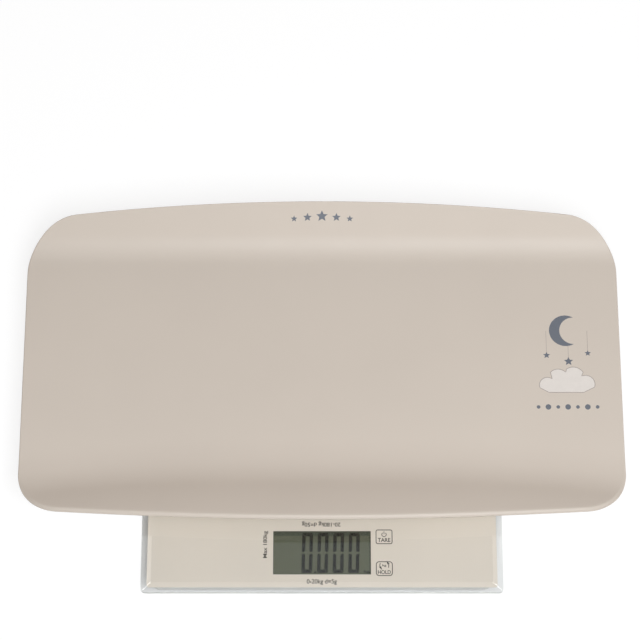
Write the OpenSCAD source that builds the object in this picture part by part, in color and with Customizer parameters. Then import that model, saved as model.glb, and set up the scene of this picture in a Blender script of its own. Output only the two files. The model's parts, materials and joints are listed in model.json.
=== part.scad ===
// Digital baby scale: a moulded lift-off tray on a glass weighing platform with four load-cell feet.
// Millimetres, +Z up. X runs along the tray, -Y is the display side.
// The origin is the centre of the bounding box's bottom, on the surface that the feet stand on.

/* [Tray] */
// Length of the tray, end to end
tray_width = 550; // [500:5:600]
// Depth of the tray at its middle, lip to lip
tray_depth = 305; // [290:5:330]
// Wall thickness of the tray moulding
tray_wall = 3.5; // [2.5:0.1:4.5]
// Height of the front and back sides above the tray's floor
tray_side_height = 29; // [24:1:40]
// Slope of the back side, in degrees from level
tray_back_slope = 38; // [32:1:48]
// Radius of the bend between the floor and the back side
tray_back_bend_r = 40; // [25:1:55]
// Slope of the front side, in degrees from level
tray_front_slope = 28; // [25:1:34]
// Radius of the bend between the floor and the front side
tray_front_bend_r = 110; // [70:1:125]
// How far the back lip bows out between the tray's ends
tray_back_bow = 14.5; // [6:0.5:20]
// How far the front lip bows out between the tray's ends
tray_front_bow = 12.5; // [6:0.5:20]
// Radius of the tray's back corners in plan
tray_back_corner_r = 51; // [35:1:60]
// Radius of the tray's front corners in plan
tray_front_corner_r = 41; // [30:1:60]
// Height of the tray's underside above the glass
tray_gap = 7.5; // [7:0.5:12]

/* [Tray cradle] */
// Distance from the rear edge of the glass to the rear of the cradle frame under the tray
cradle_rear_inset = 0.5; // [0.5:0.5:12]
// Wall thickness of the cradle frame
cradle_wall = 3; // [2:0.2:4]
// Spacing of the cradle's two cross ribs
cradle_rib_spacing = 110; // [80:5:160]
// How far the cradle's sides hang down beside the glass
cradle_drop = 4.5; // [2:0.5:5]
// Distance from the tray's front lip back to the cradle
cradle_setback = 86; // [80:1:100]
// Length of each silicone pad, across the tray
tray_pad_length = 24; // [16:1:30]
// Width of each silicone pad, front to back
tray_pad_width = 12; // [8:1:16]
// Thickness of each silicone pad
tray_pad_thick = 1.5; // [1:0.1:2.5]

/* [Glass platform] */
// Width of the glass
glass_width = 325; // [310:1:340]
// Depth of the glass, front to back
glass_depth = 300; // [290:1:315]
// Thickness of the glass
glass_thick = 6; // [5:0.5:8]
// Radius of the glass corners in plan
glass_corner_r = 4; // [2:0.5:8]
// Width of the bevel round the top of the glass
glass_bevel_width = 9; // [5:0.5:9]
// Depth of that bevel at the edge of the glass
glass_bevel_depth = 1.4; // [0.6:0.1:2]
// How far the glass reaches in front of the tray's front lip
front_reveal = 57; // [52:0.5:70]
// Clear border of glass outside the printed back
clear_border = 5.5; // [3:0.5:8]
// Thickness of the printed film under the glass
print_thick = 0.2; // [0.1:0.05:0.4]

/* [Housing] */
// Inset of the housing from the edge of the glass
housing_inset = 8; // [7:0.5:10]
// Height of the housing, without its bonding tape
housing_height = 15; // [15:0.5:18]
// Wall thickness of the housing's sides
housing_wall = 2.4; // [1.8:0.2:2.6]
// Thickness of the housing's floor
housing_floor = 2; // [1.6:0.2:2.6]
// Radius of the housing's corners in plan
housing_corner_r = 10; // [6:1:20]
// Thickness of the tape that bonds the housing to the glass
tape_thick = 0.5; // [0.3:0.1:1]
// Height of the housing's underside above the table
ground_gap = 5; // [4.5:0.5:8]

/* [Feet and load cells] */
// Distance of each foot's centre from the side edge of the glass
foot_inset_x = 38; // [34:1:44]
// Distance of each foot's centre from the front or rear edge of the glass
foot_inset_y = 40; // [34:1:44]
// Radius of the rubber foot pads
foot_pad_r = 19; // [14:0.5:20]
// Thickness of the rubber foot pads
foot_pad_thick = 2.5; // [1.5:0.25:3]
// Radius of the foot caps
foot_cap_r = 20.5; // [18:0.5:21]
// Thickness of the foot caps
foot_cap_thick = 3; // [2:0.25:3.5]
// Radius of the boss that presses on the load cell
foot_boss_r = 4; // [3:0.25:5]
// Side of the square load cells
cell_side = 34; // [32:1:36]
// Thickness of the load cells
cell_thick = 2; // [1.5:0.1:3]
// Width of the slots that free the load cell's tongue
cell_slot = 2.2; // [1.5:0.1:3]
// Width of the load cell's outer frame
cell_frame = 4; // [3:0.25:5]
// Side of the square load-cell holders
holder_side = 42; // [41:0.5:44]
// Room above the load cell for its tongue and coating
cell_headroom = 2.8; // [2.5:0.1:3.5]
// Outer radius of the load-cell leads
lead_r = 1.1; // [0.8:0.1:1.2]
// Radius of the bends in every lead's middle line
lead_bend_r = 2.4; // [2.2:0.1:2.6]

/* [Display] */
// Distance of the display's middle from the front edge of the glass
display_inset = 37; // [35.5:0.5:40]
// Width of the clear window over the display
window_width = 88; // [70:1:90]
// Depth of the clear window over the display
window_depth = 40; // [30:1:41]
// Width of the liquid crystal cell
lcd_width = 96; // [94:1:100]
// Depth of the liquid crystal cell
lcd_depth = 45; // [43:0.5:45]
// Thickness of the liquid crystal cell
lcd_thick = 2.8; // [2:0.1:3.5]
// Wall thickness of the frame round the liquid crystal cell
bezel_wall = 1.6; // [1.2:0.1:1.6]
// Height of the contact strips between the circuit board and the display
zebra_height = 2.2; // [1.5:0.1:3]
// Thickness of the foam gasket between the display and the glass
gasket_thick = 0.5; // [0.3:0.1:0.6]
// Distance of both touch keys from the display's middle, across
key_offset_x = 56; // [56:0.5:58]
// Spacing of the two touch keys, front to back
key_spacing = 29.4; // [24:0.2:30]
// Radius of the touch keys' foam electrodes
electrode_r = 4.5; // [3:0.25:4.5]

/* [Circuit board] */
// How far the circuit board reaches left of the display's middle
board_left = 62; // [62:1:66]
// How far the circuit board reaches right of the display's middle
board_right = 68; // [67:1:72]
// How far the circuit board reaches behind the display's middle
board_rear = 31; // [31:1:36]
// Thickness of the circuit board
board_thick = 1.6; // [1:0.2:1.6]
// Radius of the circuit board's screws
screw_r = 1.1; // [0.9:0.1:1.3]

/* [Battery bay] */
// Length of one battery, with its nub
battery_length = 44.5; // [43:0.5:45]
// Radius of one battery
battery_r = 5.25; // [5:0.05:5.25]
// Number of batteries side by side
battery_count = 3; // [2:1:4]
// Length of the compressed contact springs
contact_spring_length = 4.7; // [3:0.1:6]
// Thickness of the contact plates
contact_plate = 0.4; // [0.3:0.1:0.6]
// Wall thickness of the battery bay
bay_wall = 1.6; // [1.2:0.1:2]
// How far the lid's flange reaches out under the bay's walls
lid_flange_reach = 3.2; // [2.5:0.1:4]
// Thickness of the lid's flange
lid_flange_thick = 1; // [0.8:0.1:1.2]

/* [Clearances] */
// Gap between the cradle's sides and the glass
glass_clearance = 0.4; // [0.3:0.1:1]
// Gap between a loosely fitted piece and its seat
fit_clearance = 0.2; // [0.15:0.05:0.3]
// Gap between the battery lid and its rails
slide_clearance = 0.2; // [0.15:0.05:0.3]
// Gap between each foot cap and its hole in the housing
foot_clearance = 1; // [0.6:0.1:1.5]
// Gap between a screw and its pilot hole
screw_clearance = 0.05; // [0.03:0.01:0.08]

/* [Hidden] */
CORNERS = ["front_left", "front_right", "rear_left", "rear_right"];
CORNER_PARTS = ["foot_pad", "foot_cap", "load_cell", "cell_holder", "cell_lead", "tray_pad"];

TRAY_COLOUR = [0.80, 0.76, 0.73];
HOUSING_COLOUR = [0.88, 0.87, 0.85];
STEEL_COLOUR = [0.66, 0.67, 0.69];
RUBBER_COLOUR = [0.35, 0.35, 0.36];

// Segments of small round parts, of large ones, and of the lips' long bows
SMALL = 48;
LARGE = 96;
BOW = 1440;

// Heights, from the table up
housing_floor_z = ground_gap + housing_floor;
housing_top_z = ground_gap + housing_height;
tape_top_z = housing_top_z + tape_thick;
glass_z = tape_top_z + print_thick;
glass_top_z = glass_z + glass_thick;
tray_under_z = glass_top_z + tray_gap;
tray_floor_z = tray_under_z + tray_wall;
foot_cap_top_z = foot_pad_thick + foot_cap_thick;
cell_lift = 3.3;
cell_z = housing_floor_z + cell_lift;
cell_top_z = cell_z + cell_thick;
lead_bend_overlap = 0.3;
lead_bend_swell = 0.03;
lead_floor_gap = 0.1;
lead_low_z = housing_floor_z + lead_r + lead_floor_gap;
lead_cell_z = cell_top_z + lead_r + lead_floor_gap / 2;

// Places front to back
front_y = -(front_reveal + tray_depth) / 2;
rear_y = front_y + glass_depth;
glass_y = (front_y + rear_y) / 2;
tray_front_y = front_y + front_reveal;
tray_back_y = tray_front_y + tray_depth;
display_y = front_y + display_inset;
housing_front_y = front_y + housing_inset;
housing_rear_y = rear_y - housing_inset;
cradle_front_y = tray_front_y + cradle_setback;
cradle_rear_y = rear_y - cradle_rear_inset;
cradle_depth = cradle_rear_y - cradle_front_y;
cradle_y = (cradle_front_y + cradle_rear_y) / 2;

// Housing and cradle, across
housing_width = glass_width - 2 * housing_inset;
housing_depth = glass_depth - 2 * housing_inset;
cradle_inner_width = glass_width + 2 * glass_clearance;
cradle_width = cradle_inner_width + 2 * cradle_wall;
cradle_bottom_z = glass_top_z + tray_pad_thick;

// Display stack and circuit board
lcd_top_z = tape_top_z - gasket_thick;
lcd_z = lcd_top_z - lcd_thick;
board_top_z = lcd_z - zebra_height;
board_z = board_top_z - board_thick;
bezel_width = lcd_width + 2 * (fit_clearance + bezel_wall);
bezel_depth = lcd_depth + 2 * (fit_clearance + bezel_wall);
board_front_y = display_y - bezel_depth / 2;
board_rear_y = display_y + board_rear;
board_screw_inset = 3.6;
board_standoff_r = 3;
// The front right screw stays in front of the front leads, which run level with the feet
side_screw_y = min(display_y, front_y + foot_inset_y - board_standoff_r - lead_r - fit_clearance);
BOARD_SCREWS = [
    [-board_left + board_screw_inset, board_front_y + 8],
    [-board_left + board_screw_inset, board_rear_y - board_screw_inset],
    [board_right - board_screw_inset, side_screw_y],
    [board_right - board_screw_inset, board_rear_y - board_screw_inset]];

// Battery bay, open below for its lid, with the housing's rear side as its rear wall
bay_length = battery_length + contact_spring_length + 2 * contact_plate;
battery_gap = 0.6;
battery_pitch = 2 * battery_r + battery_gap;
bay_end_gap = 0.2;
bay_depth = battery_count * battery_pitch + 2 * bay_end_gap;
bay_rear_y = housing_rear_y - housing_wall;
bay_front_y = bay_rear_y - bay_depth;
lid_flange_z = housing_floor_z + slide_clearance;
rail_z = lid_flange_z + lid_flange_thick + slide_clearance;
rail_thick = 1.2;
rail_half = bay_length / 2 + lid_flange_reach + slide_clearance;
battery_headroom = 0.15;
battery_z = lid_flange_z + lid_flange_thick + battery_headroom + battery_r;
bay_ceiling_z = battery_z + battery_r + battery_headroom;

function corner_side(corner) = corner == CORNERS[0] || corner == CORNERS[2] ? -1 : 1;
function corner_end(corner) = corner == CORNERS[0] || corner == CORNERS[1] ? -1 : 1;
function foot_place(corner) = [
    corner_side(corner) * (glass_width / 2 - foot_inset_x),
    glass_y + corner_end(corner) * (glass_depth / 2 - foot_inset_y)];

// ---------- Shared shapes ----------

// A rectangle with round corners, centred
module rounded_rect(width, depth, r) {
    square([width - 2 * r, depth], center = true);
    square([width, depth - 2 * r], center = true);
    for (x = [-1, 1])
        for (y = [-1, 1])
            translate([x * (width / 2 - r), y * (depth / 2 - r)])
                circle(r = r, $fn = SMALL);
}

// A rounded rectangle with a smaller one cut out of it, centred
module rounded_ring(width, depth, r, wall) {
    difference() {
        rounded_rect(width, depth, r);
        rounded_rect(width - 2 * wall, depth - 2 * wall, max(r - wall, 0.5));
    }
}

// A cylinder between two points that differ along one axis only
module straight_run(from, to, r) {
    way = to - from;
    turn = way.x != 0 ? [0, 90, 0] : way.y != 0 ? [90, 0, 0] : [0, 0, 0];
    translate((from + to) / 2)
        rotate(turn)
            cylinder(r = r, h = norm(way), center = true, $fn = 24);
}

// A quarter bend round a corner, between two directions square to each other
module quarter_bend(corner, from, to, r) {
    out = cross(-to, from);
    translate(corner + lead_bend_r * (to - from))
        multmatrix([
            [-to.x, from.x, out.x, 0],
            [-to.y, from.y, out.y, 0],
            [-to.z, from.z, out.z, 0],
            [0, 0, 0, 1]])
            rotate_extrude(angle = 90, $fn = 96)
                translate([lead_bend_r, 0])
                    circle(r = r, $fn = 24);
}

// A lead that follows the points of a route whose stretches lie along X, Y or Z.
// Its bends are a little thicker than its straight stretches, which run a short way into them.
module routed_lead(route, r) {
    last = len(route) - 1;
    ways = [for (i = [0:last - 1]) (route[i + 1] - route[i]) / norm(route[i + 1] - route[i])];
    short_of_corner = lead_bend_r - lead_bend_overlap;
    for (i = [0:last - 1])
        straight_run(
            route[i] + ways[i] * (i == 0 ? 0 : short_of_corner),
            route[i + 1] - ways[i] * (i == last - 1 ? 0 : short_of_corner), r);
    for (i = [1:last - 1])
        quarter_bend(route[i], ways[i - 1], ways[i], r + lead_bend_swell);
}

// ---------- Tray ----------

function bow_radius(bow) = (pow(tray_width / 2, 2) + bow * bow) / (2 * bow);

// How far a side reaches out from the flat floor to its lip
function side_run(slope, bend_r) =
    bend_r * sin(slope) + (tray_side_height - bend_r * (1 - cos(slope))) / tan(slope);

tray_reach = 80;
tray_flat_front_y = tray_front_y + side_run(tray_front_slope, tray_front_bend_r);
tray_flat_back_y = tray_back_y - side_run(tray_back_slope, tray_back_bend_r);

// The sector between a lip's bow and a tray end that its round corner lies in
module corner_sector(bow_r, r) {
    across = tray_width / 2 - r;
    along = sqrt(pow(bow_r - r, 2) - across * across);
    to_bow = [across, along] / (bow_r - r);
    translate([across, along - bow_r])
        difference() {
            polygon([[0, 0], 2 * r * to_bow, [2 * r, 2 * r], [2 * r, 0]]);
            circle(r = r, $fn = 2 * LARGE);
        }
}

// Plan of the tray: two bowed lips, straight ends and four round corners
module tray_plan() {
    back_r = bow_radius(tray_back_bow);
    front_r = bow_radius(tray_front_bow);
    difference() {
        intersection() {
            translate([0, tray_back_y - back_r])
                circle(r = back_r, $fn = BOW);
            translate([0, tray_front_y + front_r])
                circle(r = front_r, $fn = BOW);
            translate([-tray_width / 2, tray_front_y - tray_reach])
                square([tray_width, tray_depth + 2 * tray_reach]);
        }
        for (side = [0, 1])
            mirror([side, 0]) {
                translate([0, tray_back_y])
                    corner_sector(back_r, tray_back_corner_r);
                translate([0, tray_front_y])
                    mirror([0, 1])
                        corner_sector(front_r, tray_front_corner_r);
            }
    }
}

// One side's half of the outline of what lies under the tray, from the flat floor out, with the
// bend's centre at the origin
function side_outline(slope, bend_r, drop) =
    let (r = bend_r + drop,
         bend_end = r * [sin(slope), -cos(slope)],
         reach = side_run(slope, bend_r) + tray_reach)
    [[0, -r], [0, 0], bend_end, [reach, bend_end.y + (reach - bend_end.x) * tan(slope)],
     [reach, -bend_r - tray_floor_z]];

// What lies under the tray's inner surface lowered by drop, seen along the tray.
// Each bend bites a hundredth of a millimetre into the flats it joins, so their edges are clean.
module under_tray(drop) {
    bite = 0.01;
    front = side_outline(tray_front_slope, tray_front_bend_r, drop);
    back = side_outline(tray_back_slope, tray_back_bend_r, drop);
    front_bend = [tray_flat_front_y, tray_floor_z + tray_front_bend_r];
    back_bend = [tray_flat_back_y, tray_floor_z + tray_back_bend_r];
    difference() {
        polygon(concat(
            [for (i = [len(front) - 1:-1:0]) front_bend + [-front[i].x, front[i].y]],
            [for (point = back) back_bend + point]));
        translate(front_bend)
            circle(r = tray_front_bend_r + drop + bite, $fn = 4 * LARGE);
        translate(back_bend)
            circle(r = tray_back_bend_r + drop + bite, $fn = 4 * LARGE);
    }
}

module tray_shell() {
    color(TRAY_COLOUR)
        intersection() {
            translate([-tray_width, 0, 0])
                rotate([90, 0, 90])
                    linear_extrude(2 * tray_width)
                        difference() {
                            under_tray(0);
                            under_tray(tray_wall);
                        }
            translate([0, 0, glass_top_z])
                linear_extrude(tray_gap + tray_wall + 2 * tray_side_height)
                    tray_plan();
        }
}

// The frame welded under the tray: it stands on the pads and its sides hang down beside the glass
module tray_cradle() {
    frame_height = tray_under_z - cradle_bottom_z;
    side_height = tray_under_z - glass_top_z + cradle_drop;
    color(TRAY_COLOUR)
        translate([0, cradle_y, 0]) {
            for (end = [-1, 1])
                translate([0, end * (cradle_depth - cradle_wall) / 2, cradle_bottom_z + frame_height / 2])
                    cube([cradle_width, cradle_wall, frame_height], center = true);
            for (side = [-1, 1]) {
                translate([side * (cradle_width - cradle_wall) / 2, 0, tray_under_z - side_height / 2])
                    cube([cradle_wall, cradle_depth, side_height], center = true);
                translate([side * cradle_rib_spacing / 2, 0, cradle_bottom_z + frame_height / 2])
                    cube([cradle_wall, cradle_depth, frame_height], center = true);
                for (end = [-1, 1])
                    translate([side * pad_seat_x, end * pad_seat_y, cradle_bottom_z + frame_height / 2])
                        cube([pad_seat_length, pad_seat_width, frame_height], center = true);
            }
        }
}

// The pads stand clear of the glass's bevel, under solid seats in the cradle's corners
pad_bevel_gap = 0.5;
pad_margin = 1.5;
pad_x = glass_width / 2 - glass_bevel_width - pad_bevel_gap - tray_pad_length / 2;
pad_y = cradle_depth / 2 - glass_bevel_width - pad_bevel_gap - tray_pad_width / 2;
pad_seat_outer_x = (cradle_inner_width + cradle_wall) / 2;
pad_seat_outer_y = (cradle_depth - cradle_wall) / 2;
pad_seat_length = pad_seat_outer_x - pad_x + tray_pad_length / 2 + pad_margin;
pad_seat_width = pad_seat_outer_y - pad_y + tray_pad_width / 2 + pad_margin;
pad_seat_x = pad_seat_outer_x - pad_seat_length / 2;
pad_seat_y = pad_seat_outer_y - pad_seat_width / 2;

module tray_pad(corner) {
    color(RUBBER_COLOUR)
        translate([corner_side(corner) * pad_x, cradle_y + corner_end(corner) * pad_y, glass_top_z])
            linear_extrude(tray_pad_thick)
                rounded_rect(tray_pad_length, tray_pad_width, tray_pad_width / 4);
}

// ---------- Glass platform ----------

module glass_platform() {
    color([0.86, 0.87, 0.86, 0.5])
        translate([0, glass_y, glass_z])
            difference() {
                linear_extrude(glass_thick)
                    rounded_rect(glass_width, glass_depth, glass_corner_r);
                for (turn = [0, 180])
                    rotate(turn)
                        bevel_cut(glass_width / 2, glass_depth);
                for (turn = [90, 270])
                    rotate(turn)
                        bevel_cut(glass_depth / 2, glass_width);
            }
}

// What the bevel takes off one edge of the glass, which lies at x = reach
module bevel_cut(reach, length) {
    spare = 1;
    inner = reach - glass_bevel_width;
    outer = reach + glass_bevel_width;
    translate([0, length / 2 + spare, glass_thick])
        rotate([90, 0, 0])
            linear_extrude(length + 2 * spare)
                polygon([[inner, 0], [outer, -2 * glass_bevel_depth], [outer, spare], [inner, spare]]);
}

// The beige film that backs the glass, with a clear window over the display
module back_print() {
    color([0.83, 0.80, 0.75])
        translate([0, 0, tape_top_z])
            linear_extrude(print_thick)
                difference() {
                    translate([0, glass_y])
                        rounded_rect(glass_width - 2 * clear_border, glass_depth - 2 * clear_border,
                                     glass_corner_r / 2);
                    translate([0, display_y])
                        square([window_width, window_depth], center = true);
                }
}

module bonding_tape() {
    color([0.95, 0.95, 0.93])
        translate([0, glass_y, housing_top_z])
            linear_extrude(tape_thick)
                rounded_ring(housing_width, housing_depth, housing_corner_r, housing_wall);
}

// ---------- Housing ----------

housing_screw_head_r = 2.5;
housing_screw_head_thick = 1.1;
housing_screw_recess = housing_screw_head_thick + 0.2;
housing_screw_length = 8;
housing_screw_inset = 2.6;

// The screw of each load-cell holder stands in the holder's corner nearest the platform's middle
function housing_screw_place(corner) =
    foot_place(corner) - [corner_side(corner), corner_end(corner)] * (holder_side / 2 - housing_screw_inset);

module lower_housing() {
    color(HOUSING_COLOUR) {
        difference() {
            union() {
                translate([0, glass_y, ground_gap])
                    linear_extrude(housing_floor)
                        rounded_rect(housing_width, housing_depth, housing_corner_r);
                translate([0, glass_y, ground_gap])
                    linear_extrude(housing_height)
                        rounded_ring(housing_width, housing_depth, housing_corner_r, housing_wall);
                battery_bay_walls();
                board_standoffs();
                lead_guides();
            }
            for (corner = CORNERS) {
                translate([each foot_place(corner), ground_gap - 1])
                    cylinder(r = foot_cap_r + foot_clearance, h = housing_floor + 2, $fn = LARGE);
                translate([each housing_screw_place(corner), ground_gap - 1])
                    cylinder(r = screw_r + fit_clearance, h = housing_floor + 2, $fn = SMALL);
                translate([each housing_screw_place(corner), ground_gap - 1])
                    cylinder(r = housing_screw_head_r + fit_clearance, h = housing_screw_recess + 1,
                             $fn = SMALL);
            }
            battery_bay_cuts();
            for (place = BOARD_SCREWS)
                translate([each place, housing_floor_z])
                    cylinder(r = screw_r + screw_clearance, h = housing_height, $fn = SMALL);
        }
    }
}

// Bay block and the rails that the lid's flange slides in
module battery_bay_walls() {
    outer_half = bay_length / 2 + bay_wall;
    translate([-outer_half, bay_front_y - bay_wall, rail_z])
        cube([2 * outer_half, bay_depth + bay_wall + housing_wall / 2, housing_top_z - rail_z]);
    translate([-rail_half - bay_wall, bay_front_y - bay_wall, ground_gap])
        cube([2 * (rail_half + bay_wall), bay_depth + bay_wall + housing_wall / 2,
              rail_z + rail_thick - ground_gap]);
}

// The bay's inside, the lid's opening out of the housing's rear, and the flange's channel
module battery_bay_cuts() {
    slot_end_y = housing_rear_y + 1;
    translate([-bay_length / 2, bay_front_y, ground_gap - 1])
        cube([bay_length, bay_depth, bay_ceiling_z - ground_gap + 1]);
    translate([-bay_length / 2, bay_front_y, ground_gap - 1])
        cube([bay_length, slot_end_y - bay_front_y, rail_z - ground_gap + 1]);
    translate([-rail_half, bay_front_y, housing_floor_z])
        cube([2 * rail_half, slot_end_y - bay_front_y, rail_z - housing_floor_z]);
    for (side = [-1, 1])
        translate([side * battery_lead_x, bay_front_y - bay_wall / 2, battery_z])
            rotate([90, 0, 0])
                cylinder(r = battery_lead_r + fit_clearance, h = 2 * bay_wall, center = true, $fn = 24);
}

module board_standoffs() {
    for (place = BOARD_SCREWS)
        translate([each place, ground_gap])
            cylinder(r = board_standoff_r, h = board_z - ground_gap, $fn = SMALL);
}

// Pairs of posts that keep the long leads of the rear load cells in line
module lead_guides() {
    post = [1.4, 6, 3.4];
    for (side = [-1, 1])
        for (step = [1:3])
            for (edge = [-1, 1])
                translate([
                    side * (glass_width / 2 - foot_inset_x) + edge * (lead_r + fit_clearance + post.x / 2),
                    lead_turn_y + step * (rear_lead_drop_y - lead_turn_y) / 4,
                    housing_floor_z + post.z / 2 - 0.5])
                    cube(post + [0, 0, 1], center = true);
}

module housing_screws() {
    color(STEEL_COLOUR)
        for (corner = CORNERS)
            translate([each housing_screw_place(corner), ground_gap + housing_screw_recess]) {
                translate([0, 0, -housing_screw_head_thick])
                    cylinder(r = housing_screw_head_r, h = housing_screw_head_thick, $fn = SMALL);
                cylinder(r = screw_r, h = housing_screw_length, $fn = SMALL);
            }
}

// ---------- Feet and load cells ----------

foot_groove_inset = 4;
foot_groove_r = 0.6;

module foot_pad(corner) {
    color(RUBBER_COLOUR)
        translate([each foot_place(corner), 0])
            rotate_extrude($fn = LARGE)
                difference() {
                    square([foot_pad_r, foot_pad_thick]);
                    translate([foot_pad_r - foot_groove_inset, 0])
                        circle(r = foot_groove_r, $fn = 24);
                }
}

module foot_cap(corner) {
    color(HOUSING_COLOUR)
        translate([each foot_place(corner), foot_pad_thick]) {
            cylinder(r = foot_cap_r, h = foot_cap_thick, $fn = LARGE);
            cylinder(r = foot_boss_r, h = cell_z - foot_pad_thick, $fn = SMALL);
        }
}

cell_hole_r = 1;
cell_corner_r = 2;

// A stamped plate whose tongue is joined to its square frame on one side only
module load_cell(corner) {
    window = cell_side - 2 * cell_frame;
    tongue = window - 2 * cell_slot;
    neck = tongue / 2;
    color(STEEL_COLOUR)
        translate([each foot_place(corner), cell_z])
            linear_extrude(cell_thick)
                difference() {
                    rounded_rect(cell_side, cell_side, cell_corner_r);
                    difference() {
                        square(window, center = true);
                        translate([0, -cell_slot])
                            square([neck, window], center = true);
                        square(tongue, center = true);
                    }
                    for (side = [-1, 1])
                        for (end = [-1, 1])
                            translate([side, end] * (cell_side - cell_frame) / 2)
                                circle(r = cell_hole_r, $fn = 24);
                }
}

lead_channel = 3;

// The block that carries the glass on the load cell's frame, with room for the tongue to bend
module cell_holder(corner) {
    height = tape_top_z - housing_floor_z;
    pocket = cell_side + 2 * fit_clearance;
    color(HOUSING_COLOUR)
        difference() {
            translate([each foot_place(corner), housing_floor_z])
                linear_extrude(height)
                    rounded_rect(holder_side, holder_side, 1.5 * cell_corner_r);
            translate([each foot_place(corner), housing_floor_z - 1])
                linear_extrude(cell_lift + cell_thick + 1)
                    rounded_rect(pocket, pocket, cell_corner_r);
            translate([each foot_place(corner), cell_top_z - 0.5])
                linear_extrude(cell_headroom + 0.5)
                    square(cell_side - 2 * cell_frame + 1, center = true);
            translate([each (foot_place(corner) + lead_exit(corner) * holder_side / 4),
                       cell_top_z + (cell_headroom - 0.5) / 2])
                cube([lead_exit(corner).x == 0 ? lead_channel : holder_side / 2 + 2,
                      lead_exit(corner).x == 0 ? holder_side / 2 + 2 : lead_channel,
                      cell_headroom + 0.5], center = true);
            translate([each housing_screw_place(corner), housing_floor_z - 1])
                cylinder(r = screw_r + screw_clearance, h = housing_screw_length + 1, $fn = SMALL);
        }
}

gauge_coat_side = 9;

module gauge_coats() {
    color([0.93, 0.93, 0.90])
        for (corner = CORNERS)
            translate([each foot_place(corner), cell_top_z + cell_headroom / 2 - 0.25])
                cube([gauge_coat_side, gauge_coat_side, cell_headroom - 0.5], center = true);
}

// Front leads leave their holders towards the display, rear leads towards the front
function lead_exit(corner) = corner_end(corner) < 0 ? [-corner_side(corner), 0] : [0, -1];

lead_drop = 6;
lead_board_inset = 8;
front_lead_x = 52;
rear_lead_x = 40;
lead_turn_y = board_rear_y + 14;
rear_lead_drop_y = rear_y - foot_inset_y - holder_side / 2 - lead_drop;

function front_lead_route(corner) =
    let (foot = foot_place(corner), side = corner_side(corner),
         drop_x = foot.x - side * (holder_side / 2 + lead_drop))
    [[foot.x - side * gauge_coat_side / 2, foot.y, lead_cell_z],
     [drop_x, foot.y, lead_cell_z],
     [drop_x, foot.y, lead_low_z],
     [side * front_lead_x, foot.y, lead_low_z],
     [side * front_lead_x, foot.y, board_z]];

function rear_lead_route(corner) =
    let (foot = foot_place(corner), side = corner_side(corner))
    [[foot.x, foot.y - gauge_coat_side / 2, lead_cell_z],
     [foot.x, rear_lead_drop_y, lead_cell_z],
     [foot.x, rear_lead_drop_y, lead_low_z],
     [foot.x, lead_turn_y, lead_low_z],
     [side * rear_lead_x, lead_turn_y, lead_low_z],
     [side * rear_lead_x, board_rear_y - lead_board_inset, lead_low_z],
     [side * rear_lead_x, board_rear_y - lead_board_inset, board_z]];

module cell_lead(corner) {
    color([0.82, 0.80, 0.78])
        routed_lead(corner_end(corner) < 0 ? front_lead_route(corner) : rear_lead_route(corner), lead_r);
}

// ---------- Display and circuit board ----------

module main_board() {
    color([0.15, 0.42, 0.27])
        difference() {
            translate([-board_left, board_front_y, board_z])
                cube([board_left + board_right, board_rear_y - board_front_y, board_thick]);
            for (place = BOARD_SCREWS)
                translate([each place, board_z - 1])
                    cylinder(r = screw_r + fit_clearance, h = board_thick + 2, $fn = SMALL);
        }
}

processor_r = 9;
processor_height = 1.4;
converter = [10, 4, 1.6];
plug = [4, 9, 3];
small_part = [1.6, 0.9, 0.6];
small_part_pitch = 2 * small_part.x;
capacitor_r = 2.5;
capacitor_height = 3.6;
parts_right_x = 22;
parts_left_x = -30;

// Parts soldered under the board: the coated processor, the converter, and small parts in a row
module board_components() {
    color([0.13, 0.13, 0.14]) {
        translate([0, display_y, board_z - processor_height])
            cylinder(r = processor_r, h = processor_height, $fn = SMALL);
        translate([parts_right_x, display_y - converter.y, board_z - converter.z])
            cube(converter);
        translate([parts_right_x, display_y + plug.y, board_z - plug.z])
            cube(plug);
        for (i = [0:5])
            translate([parts_left_x + small_part_pitch * i, display_y + processor_r,
                       board_z - small_part.z])
                cube(small_part);
        for (i = [0, 1])
            translate([parts_left_x, display_y - 4 * capacitor_r * i, board_z - capacitor_height])
                cylinder(r = capacitor_r, h = capacitor_height, $fn = SMALL);
    }
}

board_screw_head_r = 2.4;
board_screw_head_thick = 1.6;
board_screw_grip = 3.5;

module board_screws() {
    color(STEEL_COLOUR)
        for (place = BOARD_SCREWS)
            translate([each place, board_top_z]) {
                cylinder(r = board_screw_head_r, h = board_screw_head_thick, $fn = SMALL);
                translate([0, 0, -board_thick - board_screw_grip])
                    cylinder(r = screw_r, h = board_thick + board_screw_grip, $fn = SMALL);
            }
}

// Two bonded glass plates, the rear one deeper to carry the contacts
module lcd_cell() {
    ledge = 2;
    color([0.42, 0.44, 0.39]) {
        translate([0, display_y, lcd_z + lcd_thick / 4])
            cube([lcd_width, lcd_depth, lcd_thick / 2], center = true);
        translate([0, display_y, lcd_z + lcd_thick * 3 / 4])
            cube([lcd_width, lcd_depth - ledge, lcd_thick / 2], center = true);
    }
}

// The frame that stands on the board round the display and the strips under it
module lcd_bezel() {
    inner_width = lcd_width + 2 * fit_clearance;
    inner_depth = lcd_depth + 2 * fit_clearance;
    color([0.20, 0.20, 0.21])
        translate([0, display_y, board_top_z])
            linear_extrude(zebra_height + lcd_thick * 3 / 4)
                difference() {
                    square([bezel_width, bezel_depth], center = true);
                    square([inner_width, inner_depth], center = true);
                }
}

module lcd_gasket() {
    color([0.16, 0.16, 0.16])
        translate([0, display_y, lcd_top_z])
            linear_extrude(gasket_thick)
                difference() {
                    square([lcd_width, lcd_depth - 2], center = true);
                    square([window_width + 1, window_depth + 1], center = true);
                }
}

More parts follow.
